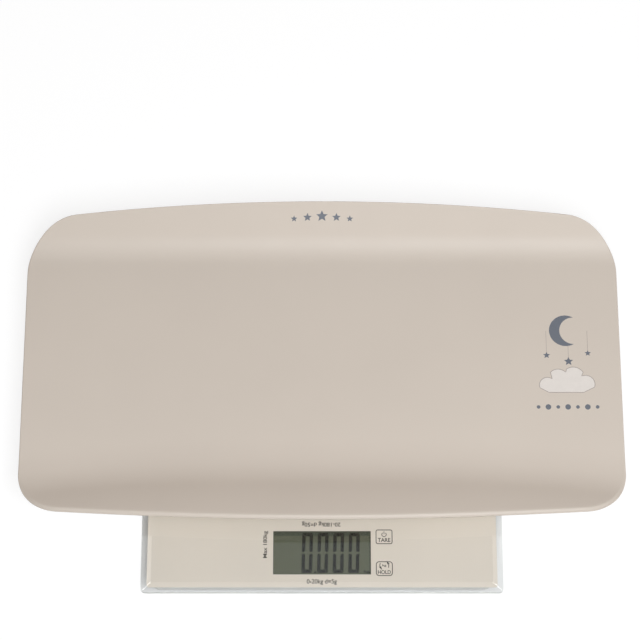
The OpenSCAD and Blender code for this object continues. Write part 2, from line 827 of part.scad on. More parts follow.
// Elastomer strips that carry the contacts from the board to the display's rear plate
module zebra_strips() {
    strip_width = 2.4;
    color([0.78, 0.55, 0.52])
        for (side = [-1, 1])
            translate([0, display_y + side * (lcd_depth - strip_width) / 2, board_top_z + zebra_height / 2])
                cube([lcd_width - 4, strip_width, zebra_height], center = true);
}

// Conductive foam between the board and the glass under each touch key
module touch_electrodes() {
    color([0.30, 0.30, 0.32])
        for (end = [-1, 1])
            translate([key_offset_x, display_y + end * key_spacing / 2, board_top_z])
                cylinder(r = electrode_r, h = tape_top_z - board_top_z, $fn = SMALL);
}

// ---------- Batteries ----------

battery_lead_r = 0.8;
battery_lead_x = bay_length / 2 - contact_plate - battery_lead_r - 0.05;
nub_length = 1;
nub_r = 1.9;
spring_wide_r = 3.4;
spring_narrow_r = 2;
contact_plate_gap = 0.9;
contact_plate_height = 8.4;

// Every second battery is turned round, and its nub points the other way
function battery_way(i) = i % 2 == 0 ? 1 : -1;
function battery_y(i) = bay_front_y + bay_end_gap + (i + 0.5) * battery_pitch;

module batteries() {
    color([0.78, 0.80, 0.82])
        for (i = [0:battery_count - 1])
            translate([battery_way(i) * (bay_length / 2 - contact_plate), battery_y(i), battery_z])
                rotate([0, -90 * battery_way(i), 0]) {
                    cylinder(r = nub_r, h = nub_length, $fn = SMALL);
                    translate([0, 0, nub_length])
                        cylinder(r = battery_r, h = battery_length - nub_length, $fn = LARGE);
                }
}

// A plate at each end of each battery, with a spring on the plate at its flat end
module battery_contacts() {
    plate = [contact_plate, battery_pitch - contact_plate_gap, contact_plate_height];
    color([0.80, 0.80, 0.78])
        for (i = [0:battery_count - 1]) {
            for (side = [-1, 1])
                translate([side * (bay_length - contact_plate) / 2, battery_y(i), battery_z])
                    cube(plate, center = true);
            translate([-battery_way(i) * (bay_length / 2 - contact_plate), battery_y(i), battery_z])
                rotate([0, 90 * battery_way(i), 0])
                    cylinder(r1 = spring_wide_r, r2 = spring_narrow_r, h = contact_spring_length,
                             $fn = SMALL);
        }
}

module battery_leads() {
    color([0.70, 0.18, 0.16])
        for (side = [-1, 1]) {
            x = side * battery_lead_x;
            drop_y = bay_front_y - bay_wall - lead_drop;
            low_z = housing_floor_z + battery_lead_r + lead_floor_gap;
            routed_lead([
                [x, bay_front_y + 2 * bay_end_gap, battery_z],
                [x, drop_y, battery_z],
                [x, drop_y, low_z],
                [x, board_rear_y - lead_board_inset, low_z],
                [x, board_rear_y - lead_board_inset, board_z]], battery_lead_r);
        }
}

grip_bar = [22, 1.2, 0.8];
grip_inset = 6;

// The lid closes the bay flush with the housing and slides out of its rear side
module battery_lid() {
    lid_front_y = bay_front_y + slide_clearance;
    lid_depth = housing_rear_y - lid_front_y;
    plate_half = bay_length / 2 - slide_clearance;
    flange_half = bay_length / 2 + lid_flange_reach;
    color(HOUSING_COLOUR) {
        translate([-plate_half, lid_front_y, ground_gap])
            cube([2 * plate_half, lid_depth, lid_flange_z - ground_gap]);
        translate([-flange_half, lid_front_y, lid_flange_z])
            cube([2 * flange_half, lid_depth, lid_flange_thick]);
        for (i = [0:4])
            translate([0, housing_rear_y - grip_inset - 2 * grip_bar.y * i, ground_gap - grip_bar.z / 4])
                cube(grip_bar, center = true);
    }
}

// ---------- Assembly ----------

glass_platform();
back_print();
bonding_tape();
lower_housing();
housing_screws();
main_board();
board_components();
board_screws();
lcd_cell();
lcd_bezel();
lcd_gasket();
zebra_strips();
touch_electrodes();
gauge_coats();
batteries();
battery_contacts();
battery_leads();
battery_lid();
tray_shell();
tray_cradle();
for (corner = CORNERS) {
    foot_pad(corner);
    foot_cap(corner);
    load_cell(corner);
    cell_holder(corner);
    cell_lead(corner);
    tray_pad(corner);
}
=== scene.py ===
"""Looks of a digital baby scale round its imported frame: tray, bevelled glass, display, keys and housing.

Metres, in the CAD's frame: X along the tray, -Y the display side, +Z up, origin on the floor."""

import json
import math

import bmesh
import bpy
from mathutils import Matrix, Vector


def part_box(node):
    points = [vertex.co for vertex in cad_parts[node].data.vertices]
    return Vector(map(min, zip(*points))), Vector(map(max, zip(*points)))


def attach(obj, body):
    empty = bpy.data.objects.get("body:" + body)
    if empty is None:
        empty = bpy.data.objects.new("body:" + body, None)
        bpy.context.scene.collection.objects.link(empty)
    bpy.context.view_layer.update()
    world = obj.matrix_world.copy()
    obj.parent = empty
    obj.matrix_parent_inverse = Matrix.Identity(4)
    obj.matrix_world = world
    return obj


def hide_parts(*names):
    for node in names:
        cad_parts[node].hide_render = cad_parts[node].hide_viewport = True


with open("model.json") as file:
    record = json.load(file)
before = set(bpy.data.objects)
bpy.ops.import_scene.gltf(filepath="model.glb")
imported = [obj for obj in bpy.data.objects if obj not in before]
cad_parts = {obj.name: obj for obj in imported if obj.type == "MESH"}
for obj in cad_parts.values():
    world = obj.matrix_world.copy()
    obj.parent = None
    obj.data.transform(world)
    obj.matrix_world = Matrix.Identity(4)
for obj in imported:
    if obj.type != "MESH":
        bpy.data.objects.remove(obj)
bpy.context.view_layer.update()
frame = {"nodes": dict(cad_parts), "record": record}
MM = 0.001

# ---------- Camera ----------

CAMERA_LENS = 129.375  # mm, on a sensor of the next width
CAMERA_SENSOR = 36
CAMERA_REACH = 20  # metres, to past the floor's far edge
CAMERA_ELEVATION = math.radians(70)
CAMERA_DISTANCE = 2127 * MM
CAMERA_TARGET = (-1.8 * MM, 72.1 * MM, 41.7 * MM)

# ---------- Sizes that repeat the CAD's ----------

TRAY_WALL = 3.5 * MM
TRAY_BACK = {"bow": 14.5 * MM, "corner": 51 * MM}
TRAY_FRONT = {"bow": 12.5 * MM, "corner": 41 * MM}
GLASS_CORNER = 4 * MM
GLASS_BEVEL_WIDTH = 9 * MM
GLASS_BEVEL_DEPTH = 1.4 * MM
PRINT_CORNER = 2 * MM
WINDOW = (88 * MM, 40 * MM)
KEY_X = 56 * MM
KEY_SPACING = 29.4 * MM

# ---------- Sizes of the looks ----------

# Slopes of the tray's sides in degrees, at reaches out from its flat floor. Between them they change evenly.
TRAY_BACK["slopes"] = ((0, 0), (27 * MM, 38), (51.7 * MM, 38))
TRAY_FRONT["slopes"] = ((0, 0), (20 * MM, 8), (43.6 * MM, 31), (81.8 * MM, 23))
TRAY_CREASE_SWEEP = 13 * MM  # how far the front bend swings forwards at the tray's ends
LIP_INSET = 3.0 * MM  # width of the lip, along which the tray's surface ends
LIP_ROUND = 1.2 * MM
LAND_DIP = math.radians(18)  # of the front lip's flat land, outwards
LAND_ROUND = 0.7 * MM
LIP_BOTTOM_R = 0.5 * MM
LAND_STEPS = 4  # rings down the lip's flat land
LIP_STEPS = 6  # rings round the lip's upper edge
LIP_BOTTOM_STEPS = 4  # rings round its lower edge
GLASS_EDGE_ROUND = 0.4 * MM
GLASS_MITRE_ROUND = 1.3 * MM
INK_THICK = 0.02 * MM
INK_RISE = 0.1 * MM  # of the ink's top over the glass's underside: just above the film
LETTER_SWELL = 0.02  # how much bolder the letters are, as a share of their size
PRINT_RISE = 0.05 * MM  # of the print into the glass, to which it is bonded with no air between


def srgb(red, green, blue):
    """The linear colour of an sRGB one given in 0 to 255."""

    def linear(value):
        value /= 255
        return value / 12.92 if value <= 0.04045 else ((value + 0.055) / 1.055) ** 2.4

    return (linear(red), linear(green), linear(blue), 1.0)


# ---------- Materials ----------

NOISE_LOW, NOISE_HIGH = 0.3, 0.7
GLASS_TINT = (0.94, 0.95, 0.945, 1)
GLASS_SHADOW_TINT = (0.965, 0.97, 0.965, 1)
GLASS_CLOUD = 25  # waves per metre of its roughness
GLASS_ROUGHNESS = 0.012  # at the most
METAL = {"Metallic": 1.0}
GROUND = {"Transmission Weight": 0.5, "IOR": 1.5}  # of the glass's ground edge
SATIN = {"Specular IOR Level": 0.2}
UNDER_GLASS = {"Specular IOR Level": 0.12}


def principled(name, sockets):
    """A new material whose Principled shader has these constants on its own sockets."""
    made = bpy.data.materials.new(name)
    made.use_nodes = True
    shader = made.node_tree.nodes["Principled BSDF"]
    for socket, value in sockets.items():
        shader.inputs[socket].default_value = value
    return made, made.node_tree, shader


def noise(tree, scale, detail=2.0, stretch=(1, 1, 1)):
    """The output of a noise texture in the object's own coordinates, scale waves per metre."""
    place = tree.nodes.new("ShaderNodeTexCoord")
    mapping = tree.nodes.new("ShaderNodeMapping")
    texture = tree.nodes.new("ShaderNodeTexNoise")
    mapping.inputs["Scale"].default_value = stretch
    texture.inputs["Scale"].default_value = scale
    texture.inputs["Detail"].default_value = detail
    tree.links.new(place.outputs["Object"], mapping.inputs["Vector"])
    tree.links.new(mapping.outputs["Vector"], texture.inputs["Vector"])
    return texture.outputs["Fac"]


def spread(tree, value, low, high):
    """A noise's value, mapped from its usual range to between low and high."""
    mapped = tree.nodes.new("ShaderNodeMapRange")
    mapped.inputs["From Min"].default_value = NOISE_LOW
    mapped.inputs["From Max"].default_value = NOISE_HIGH
    mapped.inputs["To Min"].default_value = low
    mapped.inputs["To Max"].default_value = high
    tree.links.new(value, mapped.inputs["Value"])
    return mapped.outputs["Result"]


def blended(tree, factor, first, second):
    """A colour between two colours, by a factor socket."""
    mix = tree.nodes.new("ShaderNodeMix")
    mix.data_type = "RGBA"
    mix.inputs["A"].default_value = first
    mix.inputs["B"].default_value = second
    tree.links.new(factor, mix.inputs["Factor"])
    return mix.outputs["Result"]


def bumped(tree, shader, height, depth):
    """Bump of that depth on a shader."""
    bump = tree.nodes.new("ShaderNodeBump")
    bump.inputs["Distance"].default_value = depth
    bump.inputs["Strength"].default_value = 1.0
    tree.links.new(height, bump.inputs["Height"])
    tree.links.new(bump.outputs["Normal"], shader.inputs["Normal"])


def surface(name, colour, shade, cloud, roughness, grain, depth, sockets=None, stretch=(1, 1, 1)):
    """A finished surface: its colour drifts by shade, its roughness wanders, and it has a fine grain.

    cloud and grain are waves per metre, and depth is the grain's."""
    made, tree, shader = principled(name, sockets or {})
    drift = spread(tree, noise(tree, cloud), 0, 1)
    darker = tuple(channel * (1 - shade) for channel in colour[:3]) + (1.0,)
    lighter = tuple(min(1, channel * (1 + shade)) for channel in colour[:3]) + (1.0,)
    tree.links.new(blended(tree, drift, darker, lighter), shader.inputs["Base Color"])
    fine = noise(tree, grain, 3.0, stretch)
    tree.links.new(spread(tree, noise(tree, cloud * 3), *roughness), shader.inputs["Roughness"])
    bumped(tree, shader, fine, depth)
    return made


def clear_glass():
    """Clear glass that lets the lamps reach what lies under it."""
    made, tree, shader = principled("clear_glass", {
        "Base Color": GLASS_TINT, "Transmission Weight": 1.0, "IOR": 1.5})
    tree.links.new(spread(tree, noise(tree, GLASS_CLOUD), 0.0, GLASS_ROUGHNESS), shader.inputs["Roughness"])
    path = tree.nodes.new("ShaderNodeLightPath")
    through = tree.nodes.new("ShaderNodeBsdfTransparent")
    through.inputs["Color"].default_value = GLASS_SHADOW_TINT
    passed = shader.outputs["BSDF"]
    for ray in ("Is Diffuse Ray", "Is Shadow Ray"):
        mix = tree.nodes.new("ShaderNodeMixShader")
        tree.links.new(path.outputs[ray], mix.inputs["Fac"])
        tree.links.new(passed, mix.inputs[1])
        tree.links.new(through.outputs["BSDF"], mix.inputs[2])
        passed = mix.outputs["Shader"]
    tree.links.new(passed, tree.nodes["Material Output"].inputs["Surface"])
    return made


MATERIALS = {
    "tray_plastic": surface("tray_plastic", srgb(212, 201, 189), 0.012, 9, (0.36, 0.42), 2600,
                            0.004 * MM, SATIN),
    "clear_glass": clear_glass(),
    "glass_edge": surface("glass_edge", srgb(238, 243, 240), 0.02, 60, (0.35, 0.5), 1200, 0.02 * MM, GROUND),
    "beige_print": surface("beige_print", srgb(216, 206, 193), 0.015, 12, (0.42, 0.5), 1800, 0.004 * MM),
    "tape": surface("tape", srgb(243, 243, 238), 0.02, 60, (0.6, 0.75), 900, 0.03 * MM),
    "housing_plastic": surface("housing_plastic", srgb(226, 225, 222), 0.015, 14, (0.5, 0.62), 1500,
                               0.03 * MM, SATIN),
    "steel": surface("steel", srgb(176, 178, 181), 0.05, 50, (0.28, 0.42), 2500, 0.006 * MM, METAL),
    "circuit_board": surface("circuit_board", srgb(36, 104, 66), 0.12, 120, (0.25, 0.4), 700, 0.02 * MM),
    "black_plastic": surface("black_plastic", srgb(38, 38, 40), 0.1, 80, (0.4, 0.55), 1400, 0.02 * MM),
    "display_glass": surface("display_glass", srgb(89, 92, 75), 0.03, 18, (0.3, 0.38), 3000, 0.002 * MM,
                             UNDER_GLASS),
    "foam": surface("foam", srgb(48, 48, 48), 0.2, 300, (0.8, 0.95), 1600, 0.12 * MM),
    "elastomer": surface("elastomer", srgb(200, 146, 138), 0.2, 60, (0.5, 0.65), 5000, 0.02 * MM,
                         stretch=(1, 0.05, 0.05)),
    "white_coating": surface("white_coating", srgb(238, 237, 230), 0.03, 160, (0.3, 0.5), 260, 0.15 * MM),
    "battery_jacket": surface("battery_jacket", srgb(196, 200, 205), 0.04, 50, (0.22, 0.34), 1200,
                              0.01 * MM, {"Metallic": 0.6}),
    "nickel": surface("nickel", srgb(205, 204, 198), 0.04, 90, (0.2, 0.32), 2200, 0.005 * MM, METAL),
    "lead_red": surface("lead_red", srgb(178, 44, 40), 0.06, 90, (0.35, 0.45), 1500, 0.01 * MM),
    "lead_grey": surface("lead_grey", srgb(208, 205, 200), 0.04, 90, (0.35, 0.45), 1500, 0.01 * MM),
    "foot_rubber": surface("foot_rubber", srgb(84, 84, 86), 0.08, 60, (0.7, 0.85), 1300, 0.04 * MM),
    "pad_silicone": surface("pad_silicone", srgb(196, 194, 190), 0.04, 60, (0.45, 0.6), 1300, 0.02 * MM),
}
INKS = {
    "print_ink": surface("print_ink", srgb(62, 55, 48), 0.05, 300, (0.5, 0.6), 2500, 0.002 * MM),
    "display_ink": surface("display_ink", srgb(10, 11, 9), 0.05, 120, (0.35, 0.45), 2500, 0.002 * MM,
                           UNDER_GLASS),
    # painted shade: a dark edge round the display, standing in for the shade of its recess under the window
    "display_recess_shade": surface("display_recess_shade", srgb(64, 67, 54), 0.05, 90, (0.4, 0.5), 2500, 0.002 * MM,
                            UNDER_GLASS),
    # painted shade: a darker strip at the display's top, standing in for the window edge's shadow on it
    "display_shadow_strip": surface("display_shadow_strip", srgb(68, 73, 63), 0.04, 60, (0.35, 0.45), 2500, 0.002 * MM,
                             UNDER_GLASS),
    "motif_slate": surface("motif_slate", srgb(100, 105, 114), 0.03, 200, (0.4, 0.5), 2500, 0.003 * MM),
    "motif_line": surface("motif_line", srgb(164, 153, 147), 0.03, 200, (0.4, 0.5), 2500, 0.003 * MM),
    "motif_pale": surface("motif_pale", srgb(226, 219, 212), 0.02, 200, (0.4, 0.5), 2500, 0.003 * MM),
}


# ---------- Meshes ----------


def piece(name, points, faces, material, body, slot):
    """A new smooth mesh piece that rides on a body."""
    mesh = bpy.data.meshes.new(name)
    mesh.from_pydata(points, [], faces)
    mesh.validate()
    return placed(name, mesh, material, body, smooth=True)


def placed(name, mesh, material, body, smooth=False):
    """An object for a mesh, with its material, that rides on a body."""
    made = bpy.data.objects.new(name, mesh)
    bpy.context.scene.collection.objects.link(made)
    mesh.materials.clear()
    mesh.materials.append(material)
    mesh.polygons.foreach_set("use_smooth", [smooth] * len(mesh.polygons))
    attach(made, body)
    return made


WELD_REACH = 0.002 * MM
SHARP_ANGLE = math.radians(40)  # edges that turn more than this are rounded


def soften(made, width, segments=2, weld=True, by_weight=False):
    """Rounds an object's edges and evens its shading."""
    if weld:
        joined = made.modifiers.new("joined", "WELD")
        joined.merge_threshold = WELD_REACH
    bevel = made.modifiers.new("rounded", "BEVEL")
    bevel.width = width
    bevel.segments = segments
    bevel.limit_method = "WEIGHT" if by_weight else "ANGLE"
    bevel.angle_limit = SHARP_ANGLE
    bevel.harden_normals = False
    even = made.modifiers.new("even", "WEIGHTED_NORMAL")
    even.keep_sharp = True


# ---------- Tray ----------

tray_low, tray_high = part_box("tray_shell")
TRAY_HALF = tray_high.x
TRAY_FLOOR_Z = tray_low.z + TRAY_WALL


def side_height(side, reach, thickness):
    """Height over the flat floor, at a reach out from it, of a side's surface or of its underside."""
    height = at = slope = 0
    for station, degrees in side["slopes"][1:]:
        part = min(reach, station) - at
        if part <= 0:
            break
        turn = (math.radians(degrees) - slope) / (station - at)
        after = slope + turn * part
        if turn == 0:
            height += part * math.tan(after)
        else:
            height += math.log(math.cos(slope) / math.cos(after)) / turn
        at, slope = at + part, after
    return height - thickness / math.cos(slope)


def tray_height(x, y, thickness=0):
    """Height of the tray's inner surface, or of its underside at a thickness.

    The front bend swings forwards at the tray's ends."""
    back_reach = y - (tray_high.y - TRAY_BACK["slopes"][-1][0])
    sweep = TRAY_CREASE_SWEEP * abs(x / TRAY_HALF) ** 3
    front_reach = tray_low.y + TRAY_FRONT["slopes"][-1][0] - sweep - y
    if back_reach > 0:
        return TRAY_FLOOR_Z + side_height(TRAY_BACK, back_reach, thickness)
    return TRAY_FLOOR_Z + side_height(TRAY_FRONT, front_reach, thickness)


def lip_profiles():
    """Pairs of inset and drop down the lip: where it is plain, and where it has the front's flat land."""
    fall = math.tan(math.radians(TRAY_FRONT["slopes"][-1][1])) + math.tan(LAND_DIP)
    corner_drop = (LIP_INSET - LAND_ROUND) * fall
    found = []
    for step in range(1, LAND_STEPS + 1):
        share = (step / LAND_STEPS) ** 2
        inset = LIP_INSET - share * (LIP_INSET - LAND_ROUND)
        found.append(((LIP_INSET - share * (LIP_INSET - LIP_ROUND), 0), (inset, (LIP_INSET - inset) * fall)))
    for step in range(1, LIP_STEPS + 1):
        angle = math.pi / 2 * step / LIP_STEPS
        out, down = 1 - math.sin(angle), 1 - math.cos(angle)
        land = (LAND_ROUND * out, corner_drop + LAND_ROUND * down)
        found.append(((LIP_ROUND * out, LIP_ROUND * down), land))
    return found


def half_lip(side, inset, bow_steps=40, corner_steps=16):
    """Points and outward normals from a lip's middle to the end of its corner, y outwards from the lip."""
    bow_r = (TRAY_HALF**2 + side["bow"] ** 2) / (2 * side["bow"])
    across = TRAY_HALF - side["corner"]
    along = math.sqrt((bow_r - side["corner"]) ** 2 - across**2)
    turn = math.atan2(across, along)
    found = []
    for step in range(bow_steps):
        normal = math.sin(turn * step / bow_steps), math.cos(turn * step / bow_steps)
        reach = bow_r - inset
        found.append(((normal[0] * reach, normal[1] * reach - bow_r), normal))
    for step in range(corner_steps + 1):
        angle = turn + (math.pi / 2 - turn) * step / corner_steps
        normal = math.sin(angle), math.cos(angle)
        reach = side["corner"] - inset
        found.append(((across + normal[0] * reach, along - bow_r + normal[1] * reach), normal))
    return found


def lip(side, inset, lip_y, way):
    """A whole lip from left to right. way is 1 for the back lip and -1 for the front one."""
    half = half_lip(side, inset)
    both = [((-x, y), (-nx, ny)) for (x, y), (nx, ny) in reversed(half[1:])] + half
    return [((x, lip_y + way * y), (nx, way * ny)) for (x, y), (nx, ny) in both]


def tray_mesh(rows=112):
    """The tray: a grid inside its lips, and round edges along them, above and below."""
    front = lip(TRAY_FRONT, LIP_INSET, tray_low.y, -1)
    back = lip(TRAY_BACK, LIP_INSET, tray_high.y, 1)
    columns = len(front)
    plan = []
    for row in range(rows + 1):
        share = row / rows
        for (start, _), (end, _) in zip(front, back):
            plan.append(tuple(a + (b - a) * share for a, b in zip(start, end)))
    last = rows * columns
    edge = list(range(columns)) + [row * columns + columns - 1 for row in range(1, rows)]
    edge += [last + column for column in reversed(range(columns))]
    edge += [row * columns for row in reversed(range(1, rows))]
    normals = [n for _, n in front] + [(1, 0)] * (rows - 1)
    normals += [n for _, n in reversed(back)] + [(-1, 0)] * (rows - 1)

    points = [(x, y, tray_height(x, y)) for x, y in plan]
    points += [(x, y, tray_height(x, y, TRAY_WALL)) for x, y in plan]
    under = len(plan)
    faces = []
    for row in range(rows):
        for column in range(columns - 1):
            at = row * columns + column
            faces.append((at, at + 1, at + columns + 1, at + columns))
            faces.append(tuple(under + i for i in (at, at + columns, at + columns + 1, at + 1)))

    def ring(plain, land, thickness=0):
        """Points round the tray at an inset and a drop, which go from plain's to land's on its front lip."""
        start = len(points)
        for index, (nx, ny) in zip(edge, normals):
            share = max(0, -ny)
            inset, drop = (a + (b - a) * share for a, b in zip(plain, land))
            x = plan[index][0] + nx * (LIP_INSET - inset)
            y = plan[index][1] + ny * (LIP_INSET - inset)
            points.append((x, y, tray_height(x, y, thickness) - drop))
        return [start + i for i in range(len(edge))]

    rings = [edge] + [ring(plain, land) for plain, land in lip_profiles()]
    for step in range(LIP_BOTTOM_STEPS + 1):
        angle = math.pi / 2 * step / LIP_BOTTOM_STEPS
        foot = (LIP_BOTTOM_R * (1 - math.cos(angle)), -LIP_BOTTOM_R * (1 - math.sin(angle)))
        rings.append(ring(foot, foot, TRAY_WALL))
    rings.append([under + index for index in edge])
    for upper, lower in zip(rings, rings[1:]):
        for i in range(len(edge)):
            after = (i + 1) % len(edge)
            faces.append((upper[after], upper[i], lower[i], lower[after]))
    return points, faces


def build_tray():
    """The moulded trough."""
    tray = piece("tray_body", *tray_mesh(), MATERIALS["tray_plastic"], "tray", "tray_plastic")
    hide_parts("tray_shell")


# ---------- Glass and print ----------

glass_low, glass_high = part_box("glass_platform")
GLASS_Y = (glass_low.y + glass_high.y) / 2


def rounded_outline(width, depth, radius, steps=8):
    """Points of a rectangle with round corners about the origin, from the front right corner round."""
    found = []
    for quarter, (sx, sy) in enumerate([(1, -1), (1, 1), (-1, 1), (-1, -1)]):
        for step in range(steps + 1):
            angle = math.pi / 2 * (quarter - 1 + step / steps)
            found.append((sx * (width / 2 - radius) + radius * math.cos(angle),
                          sy * (depth / 2 - radius) + radius * math.sin(angle)))
    return found


def build_glass(steps=8):
    """The glass: a flat top, four bevel facets that meet in mitres, a thin side and a flat underside."""
    width, depth = glass_high.x - glass_low.x, glass_high.y - glass_low.y
    outline = rounded_outline(width, depth, GLASS_CORNER, steps)
    count = len(outline)

    def bevel_z(x, y):
        inside = min(width / 2 - abs(x), depth / 2 - abs(y))
        return glass_high.z - GLASS_BEVEL_DEPTH * (1 - inside / GLASS_BEVEL_WIDTH)

    points = [(x, GLASS_Y + y, glass_low.z) for x, y in outline]
    points += [(x, GLASS_Y + y, bevel_z(x, y)) for x, y in outline]
    inner_x, inner_y = width / 2 - GLASS_BEVEL_WIDTH, depth / 2 - GLASS_BEVEL_WIDTH
    corners = [(inner_x, -inner_y), (inner_x, inner_y), (-inner_x, inner_y), (-inner_x, -inner_y)]
    points += [(x, GLASS_Y + y, glass_high.z) for x, y in corners]
    top = [2 * count + i for i in range(4)]
    faces = [tuple(reversed(range(count))), tuple(top)]
    for i in range(count):
        after = (i + 1) % count
        faces.append((i, after, count + after, count + i))
    for quarter in range(4):
        start = quarter * (steps + 1) + steps // 2
        rim = [count + (start + i) % count for i in range(steps + 2)]
        faces.append(tuple(rim + [top[(quarter + 1) % 4], top[quarter]]))
    glass = piece("glass_plate", points, faces, MATERIALS["clear_glass"], "platform", "clear_glass")
    glass.data.materials.append(MATERIALS["glass_edge"])
    for polygon in glass.data.polygons:
        polygon.material_index = 1 if abs(polygon.normal.z) < 0.5 else 0
    sharp = bmesh.new()
    sharp.from_mesh(glass.data)
    weights = sharp.edges.layers.float.new("bevel_weight_edge")
    for edge in sharp.edges:
        rise = abs(edge.verts[0].co.z - edge.verts[1].co.z)
        mitre = 0.5 * GLASS_BEVEL_DEPTH < rise < 1.5 * GLASS_BEVEL_DEPTH
        upright = rise > 0.5 * edge.calc_length()
        edge[weights] = 1.0 if mitre else 0.0 if upright else GLASS_EDGE_ROUND / GLASS_MITRE_ROUND
    sharp.to_mesh(glass.data)
    sharp.free()
    soften(glass, GLASS_MITRE_ROUND, 3, weld=False, by_weight=True)
    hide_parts("glass_platform")


def flat_shape(name, loops, z, thickness, material, body):
    """A thin flat piece with these closed outlines, the inner ones as holes, whose top is at z."""
    curve = bpy.data.curves.new(name, "CURVE")
    curve.dimensions = "2D"
    curve.fill_mode = "BOTH"
    curve.extrude = thickness / 2
    for loop in loops:
        spline = curve.splines.new("POLY")
        spline.points.add(len(loop) - 1)
        for point, (x, y) in zip(spline.points, loop):
            point.co = (x, y, 0, 1)
        spline.use_cyclic_u = True
    mesh = mesh_of_curve(name, curve)
    for vertex in mesh.vertices:
        vertex.co.z += z - thickness / 2
    return placed(name, mesh, material, body)


def mesh_of_curve(name, curve):
    """The mesh of a curve or text, which is then removed."""
    source = bpy.data.objects.new(name + "_source", curve)
    mesh = bpy.data.meshes.new_from_object(source)
    bpy.data.objects.remove(source)
    bpy.data.curves.remove(curve)
    mesh.name = name
    return mesh


def moved(loop, x, y):
    """A loop of points, moved by x and y."""
    return [(px + x, py + y) for px, py in loop]


def build_print():
    """The beige film behind the glass, with its window."""
    low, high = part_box("back_print")
    film = moved(rounded_outline(high.x - low.x, high.y - low.y, PRINT_CORNER), 0, GLASS_Y)
    half_x, half_y = WINDOW[0] / 2, WINDOW[1] / 2
    window = [(-half_x, -half_y), (-half_x, half_y), (half_x, half_y), (half_x, -half_y)]
    top = high.z + PRINT_RISE
    made = flat_shape("print_film", [film, moved(window, 0, DISPLAY_Y)], top, top - low.z,
                      MATERIALS["beige_print"], "platform")
    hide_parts("back_print")


# ---------- Lettering and outlines ----------


def stroke(path, width, closed=False):
    """The outlines of a line of that width along a path: one loop, or two where the path is closed."""
    count = len(path)
    left, right = [], []
    for i, (x, y) in enumerate(path):
        before = path[i - 1] if closed or i > 0 else path[i]
        after = path[(i + 1) % count] if closed or i < count - 1 else path[i]
        along = (after[0] - before[0], after[1] - before[1])
        length = math.hypot(*along)
        side = (-along[1] / length * width / 2, along[0] / length * width / 2)
        left.append((x + side[0], y + side[1]))
        right.append((x - side[0], y - side[1]))
    return [left, right] if closed else [left + right[::-1]]


def arc(x, y, radius, start, end, steps=24):
    """Points of an arc about a centre, between two angles in degrees."""
    angles = [math.radians(start + (end - start) * step / steps) for step in range(steps + 1)]
    return [(x + radius * math.cos(a), y + radius * math.sin(a)) for a in angles]


def disc(x, y, radius):
    """The outline of a round dot."""
    return arc(x, y, radius, 0, 345, 23)


def lettering(name, words, place, z, size, turn, material):
    """Words of that width and height about a place, turned by degrees."""
    curve = bpy.data.curves.new(name, "FONT")
    curve.body = words
    curve.offset = LETTER_SWELL
    curve.extrude = INK_THICK / 2
    mesh = mesh_of_curve(name, curve)
    xs = [v.co.x for v in mesh.vertices]
    ys = [v.co.y for v in mesh.vertices]
    middle_x, middle_y = (min(xs) + max(xs)) / 2, (min(ys) + max(ys)) / 2
    scale_x, scale_y = size[0] / (max(xs) - min(xs)), size[1] / (max(ys) - min(ys))
    cosine, sine = math.cos(math.radians(turn)), math.sin(math.radians(turn))
    for vertex in mesh.vertices:
        across = (vertex.co.x - middle_x) * scale_x
        up = (vertex.co.y - middle_y) * scale_y
        vertex.co = (place[0] + across * cosine - up * sine, place[1] + across * sine + up * cosine,
                     z - INK_THICK / 2 + vertex.co.z)
    return placed(name, mesh, material, "platform")


# ---------- Display and keys ----------

display_low, display_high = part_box("lcd_cell")
DISPLAY_Y = (display_low.y + display_high.y) / 2
DISPLAY_Z = display_high.z
INK_Z = glass_low.z + INK_RISE

DIGIT = (9.75 * MM, 36.8 * MM)
DIGIT_PITCH = 14.05 * MM
DIGITS = 4
FIRST_DIGIT_X = -13.3 * MM
DIGIT_STROKE = 3.1 * MM
DIGIT_LEAN = math.radians(1.4)
DIGIT_GAP = 0.3 * MM  # between a bar and a post
DIGIT_CUT = 0.7 * MM  # off a digit's outer corners
MIDDLE_GAP = 1.9 * MM  # between the upper and the lower posts
MIDDLE_TAPER = (0.2 * MM, 0.8 * MM)  # of a post's end there, in the stroke's middle and at its inside
POINT_R = 1.0 * MM
POINT_PLACE = (0.2 * MM, 0.6 * MM)  # right of the pitch's middle, and over the digits' foot
UNIT_PLACE = (40 * MM, -17.4 * MM)  # from the display's middle
UNIT_SIZE = (5.2 * MM, 3.4 * MM)
PRINT_LIFT = 0.1 * MM  # of the digits over the display's face, and less for what lies under them
BORDER_LIFT = 0.05 * MM
STRIP_LIFT = 0.03 * MM
BORDER_OUT = 1 * MM  # how much larger than the window the painted recess shade round the display is
BORDER_IN = (1.8 * MM, 1.6 * MM)  # how much smaller its hole is
# moves the hole, so that the painted shade is wider at the top and at the right
BORDER_SHIFT = (-0.5 * MM, -0.3 * MM)
STRIP_DEPTH = 4.4 * MM  # of the painted shadow strip at the display's top
STRIP_OUT = 0.2 * MM
DISPLAY_CORNER = 0.2 * MM


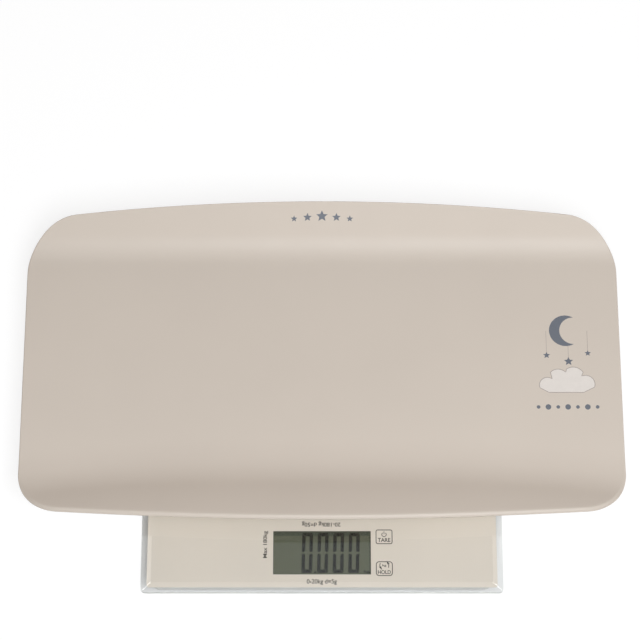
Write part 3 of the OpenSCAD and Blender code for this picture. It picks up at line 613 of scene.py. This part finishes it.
def digit_segments(middle_x):
    """The six lit segments of a nought about a middle."""
    half_w, half_h = DIGIT[0] / 2, DIGIT[1] / 2
    inner_w, inner_h = half_w - DIGIT_STROKE, half_h - DIGIT_STROKE
    bar = [(-half_w + DIGIT_CUT + DIGIT_GAP, half_h), (half_w - DIGIT_CUT - DIGIT_GAP, half_h),
           (half_w - DIGIT_GAP, half_h - DIGIT_CUT), (inner_w + DIGIT_GAP / 2, inner_h),
           (-inner_w - DIGIT_GAP / 2, inner_h), (-half_w + DIGIT_GAP, half_h - DIGIT_CUT)]
    post = [(half_w, half_h - DIGIT_CUT - DIGIT_GAP), (half_w, MIDDLE_GAP / 2),
            (half_w - DIGIT_STROKE / 2, MIDDLE_GAP / 2 - MIDDLE_TAPER[0]),
            (inner_w, MIDDLE_GAP / 2 + MIDDLE_TAPER[1]), (inner_w, inner_h - DIGIT_GAP)]
    found = []
    for way_y in (1, -1):
        found.append([(x, way_y * y) for x, y in bar])
        for way_x in (1, -1):
            found.append([(way_x * x, way_y * y) for x, y in post])
    lean = math.tan(DIGIT_LEAN)
    return [[(middle_x + x + y * lean, DISPLAY_Y + y) for x, y in loop] for loop in found]


def build_digits():
    """Noughts, a decimal point and the unit."""
    z = DISPLAY_Z + PRINT_LIFT
    loops = [loop for i in range(DIGITS) for loop in digit_segments(FIRST_DIGIT_X + i * DIGIT_PITCH)]
    point_x = FIRST_DIGIT_X + DIGIT_PITCH / 2 + POINT_PLACE[0]
    point_y = DISPLAY_Y - DIGIT[1] / 2 + POINT_PLACE[1]
    loops.append(disc(point_x, point_y, POINT_R))
    flat_shape("display_digits", loops, z, INK_THICK, INKS["display_ink"], "platform")
    lettering("display_unit", "kg", (UNIT_PLACE[0], DISPLAY_Y + UNIT_PLACE[1]), z, UNIT_SIZE, 0,
              INKS["display_ink"])


def build_display_painted_shade():
    """Painted shade on the display: a dark edge round it and a darker strip at its top, standing in for the
    shade that the window's recess casts on it.
    """
    outer = rounded_outline(WINDOW[0] + BORDER_OUT, WINDOW[1] + BORDER_OUT, DISPLAY_CORNER, 2)
    inner = rounded_outline(WINDOW[0] - BORDER_IN[0], WINDOW[1] - BORDER_IN[1], DISPLAY_CORNER, 2)
    loops = [moved(outer, 0, DISPLAY_Y), moved(inner, BORDER_SHIFT[0], DISPLAY_Y + BORDER_SHIFT[1])]
    flat_shape("display_recess_shade_ring", loops, DISPLAY_Z + BORDER_LIFT, INK_THICK, INKS["display_recess_shade"], "platform")
    strip = rounded_outline(WINDOW[0] + 2 * STRIP_OUT, STRIP_DEPTH, DISPLAY_CORNER, 2)
    strip_y = DISPLAY_Y + (WINDOW[1] - STRIP_DEPTH) / 2 + STRIP_OUT
    flat_shape("display_shadow_strip", [moved(strip, 0, strip_y)], DISPLAY_Z + STRIP_LIFT, INK_THICK,
               INKS["display_shadow_strip"], "platform")


KEY = (15.2 * MM, 13.5 * MM)
KEY_LINE = 0.75 * MM
TARE_Y = DISPLAY_Y + KEY_SPACING / 2
TARE_CORNER = 1.6 * MM
TARE_WORD_Y = TARE_Y - 2.9 * MM
TARE_WORD = (11.4 * MM, 3.7 * MM)
HOLD_Y = DISPLAY_Y - KEY_SPACING / 2
HOLD_CORNER = 2.6 * MM
HOLD_WORD_Y = HOLD_Y - 3.2 * MM
HOLD_WORD = (11.6 * MM, 3.6 * MM)
POWER_Y = TARE_Y + 2.2 * MM
POWER_R = 2.0 * MM
POWER_ARC = (130, 410)  # degrees
POWER_BAR = (2.8 * MM, 0.2 * MM)  # from the sign's middle up to these
POWER_LINE = 0.65 * MM
ARROWS_Y = HOLD_Y + 3.0 * MM
ARROWS_APART = 1.6 * MM  # of each arrow's centre from the key's middle
ARROW_R = 5.6 * MM
ARROW_ARCS = ((1, 158, 192), (-1, -22, 12))  # side of the centre, then degrees
ARROW_LINE = 0.7 * MM
ARROW_HEAD = (1.6, 38)  # half its width, as a share of the line's, and its length in degrees
UNIT_WORD_Y = ARROWS_Y - 0.2 * MM
UNIT_WORD = (3.6 * MM, 2.6 * MM)


def curved_arrow(x, y, radius, start, end, width):
    """An arc with an arrowhead at its end."""
    line = arc(x, y, radius, start, end, 10)
    barb, length = ARROW_HEAD[0] * width, ARROW_HEAD[1]
    tip = math.radians(end + math.copysign(length, end - start))
    foot = math.radians(end)
    head = [(x + (radius - barb) * math.cos(foot), y + (radius - barb) * math.sin(foot)),
            (x + (radius + barb) * math.cos(foot), y + (radius + barb) * math.sin(foot)),
            (x + radius * math.cos(tip), y + radius * math.sin(tip))]
    return stroke(line, width) + [head]


def build_keys():
    """Outlines, signs and words of the two touch keys."""
    ink = INKS["print_ink"]

    def sign(name, loops):
        flat_shape(name, loops, INK_Z, INK_THICK, ink, "platform")

    for name, y, corner in (("tare", TARE_Y, TARE_CORNER), ("hold", HOLD_Y, HOLD_CORNER)):
        ring = stroke(rounded_outline(KEY[0] - KEY_LINE, KEY[1] - KEY_LINE, corner), KEY_LINE, closed=True)
        sign(f"key_{name}_outline", [moved(loop, KEY_X, y) for loop in ring])
    power = stroke(arc(KEY_X, POWER_Y, POWER_R, *POWER_ARC), POWER_LINE)
    power += stroke([(KEY_X, POWER_Y + end) for end in POWER_BAR], POWER_LINE)
    sign("key_power_sign", power)
    lettering("key_tare_word", "TARE", (KEY_X, TARE_WORD_Y), INK_Z, TARE_WORD, 0, ink)
    arrows = []
    for side, start, end in ARROW_ARCS:
        arrows += curved_arrow(KEY_X + side * ARROWS_APART, ARROWS_Y, ARROW_R, start, end, ARROW_LINE)
    sign("key_unit_sign", arrows)
    lettering("key_unit_word", "kg", (KEY_X, UNIT_WORD_Y), INK_Z, UNIT_WORD, 0, ink)
    lettering("key_hold_word", "HOLD", (KEY_X, HOLD_WORD_Y), INK_Z, HOLD_WORD, 0, ink)


# Name, words, place from the display's middle, size and turn in degrees.
CAPACITY_WORDS = [
    ("words_large_range", "20-180kg d=50g", (-0.7 * MM, 26.6 * MM), (35 * MM, 5.0 * MM), 180),
    ("words_small_range", "0-20kg d=5g", (-0.2 * MM, -26.8 * MM), (27 * MM, 4.9 * MM), 0),
    ("words_most", "Max 180kg", (-50.8 * MM, 7.6 * MM), (25 * MM, 4.7 * MM), 90),
]


def build_capacity_words():
    """Capacity and steps, in plain figures round the display."""
    for name, words, (x, y), size, turn in CAPACITY_WORDS:
        lettering(name, words, (x, DISPLAY_Y + y), INK_Z, size, turn, INKS["print_ink"])


# ---------- Motifs on the tray ----------

MOTIF_PLACE = (225 * MM, 36 * MM)
MOON_PLACE = (0, 27 * MM)
MOON_R = 15 * MM
MOON_HORN = 60  # degrees from its open side to the tip of a horn
HUNG_STARS = [(-18 * MM, 3 * MM, 3.4 * MM), (2 * MM, -3 * MM, 4.4 * MM), (20 * MM, 5 * MM, 3.0 * MM)]
CLOUD_PUFFS = [(-18, -26, 7.5), (-8, -20, 9.5), (6, -19, 10.5), (17, -25, 8.5)]  # x, y and radius in mm
PUFF_ARC = (150, 55)  # degrees over which a puff shows, before its turn
PUFF_TURN = -12  # degrees by which each next one's arc turns
CLOUD_ENDS = (200, -20)  # degrees at which the cloud's upper outline starts and ends
CLOUD_BASE_Y = -33 * MM
CLOUD_BASE = (15 * MM, -17 * MM)  # right and left ends of its flat foot
THREAD = 0.35 * MM
CLOUD_LINE = 0.6 * MM
DOTS_Y = -47 * MM
DOT_PITCH = 9 * MM
DOT_RADII = (2.6 * MM, 1.7 * MM)  # by turns
STAR_WAIST = 0.46  # radius of a star's inner corners, as a share of its size
WALL_STARS_Y = 169 * MM
# Places from the row's middle, and sizes, in mm
WALL_STARS = [(-26, -1.6, 3.2), (-13.5, -0.5, 4.2), (0, 0.4, 5.6), (13.5, -0.5, 4.2), (26, -1.6, 3.2)]


def tray_print(name, loops, material, layer=0):
    """A flat shape printed on the tray's inner surface."""
    made = flat_shape(name, loops, 0, INK_THICK, INKS[material], "tray")
    for vertex in made.data.vertices:
        vertex.co.z += tray_height(vertex.co.x, vertex.co.y) + INK_THICK * (1 + layer)


def star(x, y, size, height=1.0):
    """The outline of a five-pointed star about a place. height squeezes it up and down."""
    found = []
    for i in range(10):
        radius = size if i % 2 == 0 else size * STAR_WAIST
        angle = math.pi / 2 + math.pi * i / 5
        found.append((x + radius * math.cos(angle), y + height * radius * math.sin(angle)))
    return found


def build_motif():
    """A moon, stars on threads, a cloud and a row of dots, printed on the tray's floor at its right."""

    def ink(name, loops, material, layer=0):
        tray_print("motif_" + name, [moved(loop, *MOTIF_PLACE) for loop in loops], material, layer)

    moon_x, moon_y = MOON_PLACE
    horn = math.radians(MOON_HORN)
    ink("moon", [arc(moon_x, moon_y, MOON_R, MOON_HORN, 360 - MOON_HORN, 48)
                 + arc(moon_x + MOON_R * math.cos(horn), moon_y, MOON_R * math.sin(horn), 270, 90, 40)],
        "motif_slate")
    ink("stars", [star(*place) for place in HUNG_STARS], "motif_slate")
    threads = []
    for x, y, size in HUNG_STARS:
        under_moon = abs(x) < MOON_R
        top = moon_y - math.sqrt(MOON_R**2 - x**2) if under_moon else moon_y
        threads += stroke([(x, top), (x, y + size)], THREAD)
    ink("threads", threads, "motif_line")
    outline = []
    for i, (x, y, radius) in enumerate(CLOUD_PUFFS):
        start = CLOUD_ENDS[0] if i == 0 else PUFF_ARC[0] + i * PUFF_TURN
        end = CLOUD_ENDS[1] if i == len(CLOUD_PUFFS) - 1 else PUFF_ARC[1] + i * PUFF_TURN
        outline += arc(x * MM, y * MM, radius * MM, start, end, 14)
    outline += [(x, CLOUD_BASE_Y) for x in CLOUD_BASE]
    ink("cloud", [outline], "motif_pale")
    ink("cloud_line", stroke(outline, CLOUD_LINE, closed=True), "motif_line", 1)
    dots = [disc(i * DOT_PITCH, DOTS_Y, DOT_RADII[i % 2]) for i in range(-3, 4)]
    ink("dots", dots, "motif_slate")


def build_wall_stars():
    """A row of stars on the tray's back, in its middle."""
    lean = math.cos(math.radians(TRAY_BACK["slopes"][-1][1]))
    rows = [star(x * MM, WALL_STARS_Y + y * MM, size * MM, lean) for x, y, size in WALL_STARS]
    tray_print("back_wall_stars", rows, "motif_slate")


# ---------- CAD nodes that stay ----------

SOFTENED = {
    "housing_plastic": 0.5 * MM, "tray_plastic": 0.4 * MM, "foot_rubber": 0.4 * MM,
    "pad_silicone": 0.3 * MM, "steel": 0.12 * MM, "black_plastic": 0.12 * MM, "battery_jacket": 0.3 * MM,
    "nickel": 0.06 * MM, "white_coating": 0.5 * MM, "circuit_board": 0.1 * MM,
}


def dress_nodes():
    """Gives every CAD node its slot's material, and round edges where its stuff has them."""
    for row in frame["record"]["subparts"]:
        node = frame["nodes"][row["node"]]
        slot = row["material_slot"]
        node.data.materials.clear()
        node.data.materials.append(MATERIALS[slot])
        if slot in SOFTENED and row["node"] != "tray_shell":
            soften(node, SOFTENED[slot])


# ---------- Studio ----------

WHITE = (1.0, 1.0, 1.0)
AMBIENT = 0.11  # share of a level white surface's light that comes from all round
AMBIENT_TINT = (1.12, 0.98, 0.89)
SQUARE = ((-1, -1), (1, -1), (1, 1), (-1, 1))
FLOOR_HALF = 4.0
FLOOR_DROP = 0.1 * MM  # below the feet, so that their faces don't meet
FLOOR_COLOUR = (0.8, 0.8, 0.8, 1)
FLOOR_GLOW = 1.15  # light of the floor's own, which shows as white
FLOOR_DIRECT_GLOW = 0.72  # its share in what the camera sees of the floor
FLOOR_MIRRORED_GLOW = 0.1  # its share in what comes by a mirror or through glass
FLAG_HALF = (0.36, 0.3)
FLAG_DISTANCE = 2.0
FLAG_SHIFT = -0.18  # along Y, to where the glass that shows mirrors it
FLAG_COLOUR = (0.08, 0.08, 0.08, 1)


def seen_ray(tree, direct=1.0, indirect=1.0):
    """direct for rays to the camera, indirect for ones that come by a mirror or through glass, else 0."""
    path = tree.nodes.new("ShaderNodeLightPath")
    total = None
    for kind, share in (("Is Camera Ray", direct), ("Is Glossy Ray", indirect),
                        ("Is Transmission Ray", indirect)):
        part = tree.nodes.new("ShaderNodeMath")
        part.operation = "MULTIPLY"
        part.inputs[1].default_value = share
        tree.links.new(path.outputs[kind], part.inputs[0])
        if total is None:
            total = part.outputs["Value"]
            continue
        most = tree.nodes.new("ShaderNodeMath")
        most.operation = "MAXIMUM"
        tree.links.new(total, most.inputs[0])
        tree.links.new(part.outputs["Value"], most.inputs[1])
        total = most.outputs["Value"]
    return total


def build_world():
    """Plain light from all round, which shows as white."""
    world = bpy.data.worlds.new("studio")
    bpy.context.scene.world = world
    world.use_nodes = True
    tree = world.node_tree
    light = tree.nodes["Background"]
    light.inputs["Color"].default_value = (*AMBIENT_TINT, 1)
    light.inputs["Strength"].default_value = AMBIENT
    white = tree.nodes.new("ShaderNodeBackground")
    white.inputs["Color"].default_value = (*WHITE, 1)
    white.inputs["Strength"].default_value = 1.0
    mix = tree.nodes.new("ShaderNodeMixShader")
    tree.links.new(seen_ray(tree), mix.inputs["Fac"])
    tree.links.new(light.outputs["Background"], mix.inputs[1])
    tree.links.new(white.outputs["Background"], mix.inputs[2])
    tree.links.new(mix.outputs["Shader"], tree.nodes["World Output"].inputs["Surface"])


def stage_piece(name, points):
    """A flat four-sided piece of the studio, and its material with only an output."""
    mesh = bpy.data.meshes.new(name)
    mesh.from_pydata(points, [], [(0, 1, 2, 3)])
    made = bpy.data.objects.new(name, mesh)
    bpy.context.scene.collection.objects.link(made)
    material = bpy.data.materials.new(name)
    material.use_nodes = True
    material.node_tree.nodes.remove(material.node_tree.nodes["Principled BSDF"])
    mesh.materials.append(material)
    return made, material.node_tree


def build_floor():
    """A pale floor that keeps the object's shadow. A share of what shows of it is its own light.

    Seen from below, it is clear."""
    floor, tree = stage_piece("floor", [(x * FLOOR_HALF, y * FLOOR_HALF, -FLOOR_DROP) for x, y in SQUARE])
    matt = tree.nodes.new("ShaderNodeBsdfDiffuse")
    matt.inputs["Color"].default_value = FLOOR_COLOUR
    own = tree.nodes.new("ShaderNodeEmission")
    own.inputs["Strength"].default_value = FLOOR_GLOW
    mix = tree.nodes.new("ShaderNodeMixShader")
    tree.links.new(seen_ray(tree, FLOOR_DIRECT_GLOW, FLOOR_MIRRORED_GLOW), mix.inputs["Fac"])
    tree.links.new(matt.outputs["BSDF"], mix.inputs[1])
    tree.links.new(own.outputs["Emission"], mix.inputs[2])
    side = tree.nodes.new("ShaderNodeNewGeometry")
    open_below = tree.nodes.new("ShaderNodeBsdfTransparent")
    both = tree.nodes.new("ShaderNodeMixShader")
    tree.links.new(side.outputs["Backfacing"], both.inputs["Fac"])
    tree.links.new(mix.outputs["Shader"], both.inputs[1])
    tree.links.new(open_below.outputs["BSDF"], both.inputs[2])
    tree.links.new(both.outputs["Shader"], tree.nodes["Material Output"].inputs["Surface"])


def build_flag():
    """A grey card, seen only in reflections, where the level glass mirrors it to the camera."""
    cosine, sine = math.cos(CAMERA_ELEVATION), math.sin(CAMERA_ELEVATION)
    middle_y, middle_z = FLAG_DISTANCE * cosine + FLAG_SHIFT, FLAG_DISTANCE * sine
    card, tree = stage_piece("flag", [(x * FLAG_HALF[0], middle_y - y * FLAG_HALF[1] * sine,
                                       middle_z + y * FLAG_HALF[1] * cosine) for x, y in SQUARE])
    grey = tree.nodes.new("ShaderNodeEmission")
    grey.inputs["Color"].default_value = FLAG_COLOUR
    tree.links.new(grey.outputs["Emission"], tree.nodes["Material Output"].inputs["Surface"])
    card.visible_camera = card.visible_diffuse = card.visible_shadow = card.visible_transmission = False


def build_softbox(name, azimuth, elevation, distance, size, share, tint=WHITE, lights=True, gleams=True):
    """A soft lamp that gives that share of a level white surface's light, from a direction in degrees.

    lights says that it lights matt surfaces, and gleams that it shows in glossy ones."""
    turn, rise = math.radians(azimuth), math.radians(elevation)
    lamp = bpy.data.lights.new(name, "AREA")
    lamp.shape = "RECTANGLE"
    lamp.size, lamp.size_y = size
    lamp.energy = share * math.pi**2 * distance**2 / math.sin(rise)
    lamp.color = tint
    made = bpy.data.objects.new(name, lamp)
    bpy.context.scene.collection.objects.link(made)
    made.location = (distance * math.sin(turn) * math.cos(rise),
                     -distance * math.cos(turn) * math.cos(rise), distance * math.sin(rise))
    made.visible_diffuse = lights
    made.visible_glossy = gleams
    made.rotation_mode = "QUATERNION"
    made.rotation_quaternion = made.location.to_track_quat("Z", "Y")


def build_lamps():
    """A main lamp from the front, weak fills behind and at the sides, and gleams for the glass's bevels."""
    build_softbox("front_softbox", 22, 62, 2.4, (1.4, 1.1), 0.79, (0.97, 1.00, 1.03))
    build_softbox("back_fill", 180, 20, 2.6, (1.6, 0.6), 0.024, (1.2, 0.97, 0.8), gleams=False)
    for name, azimuth, gleam in (("left", -90, 0.04), ("right", 90, 0.02)):
        build_softbox(f"{name}_fill", azimuth, 12, 2.6, (1.2, 0.6), 0.02, gleams=False)
        build_softbox(f"{name}_side_gleam", azimuth * 1.25, 63, 2.3, (0.8, 0.8), gleam, lights=False)
        build_softbox(f"{name}_corner_gleam", azimuth, 73, 2.15, (0.3, 0.3), 0.05, lights=False)


def build_camera():
    """The camera, level from side to side and looking down at the target from the front."""
    lens = bpy.data.cameras.new("camera")
    lens.lens = CAMERA_LENS
    lens.sensor_width = CAMERA_SENSOR
    lens.clip_end = CAMERA_REACH
    camera = bpy.data.objects.new("camera", lens)
    bpy.context.scene.collection.objects.link(camera)
    camera.location = (CAMERA_TARGET[0],
                       CAMERA_TARGET[1] - CAMERA_DISTANCE * math.cos(CAMERA_ELEVATION),
                       CAMERA_TARGET[2] + CAMERA_DISTANCE * math.sin(CAMERA_ELEVATION))
    camera.rotation_euler = (math.pi / 2 - CAMERA_ELEVATION, 0, 0)
    bpy.context.scene.camera = camera


dress_nodes()
build_tray()
build_glass()
build_print()
build_digits()
build_display_painted_shade()
build_keys()
build_capacity_words()
build_motif()
build_wall_stars()
build_world()
build_floor()
build_lamps()
build_flag()
build_camera()
bpy.context.scene.view_settings.view_transform = "Standard"
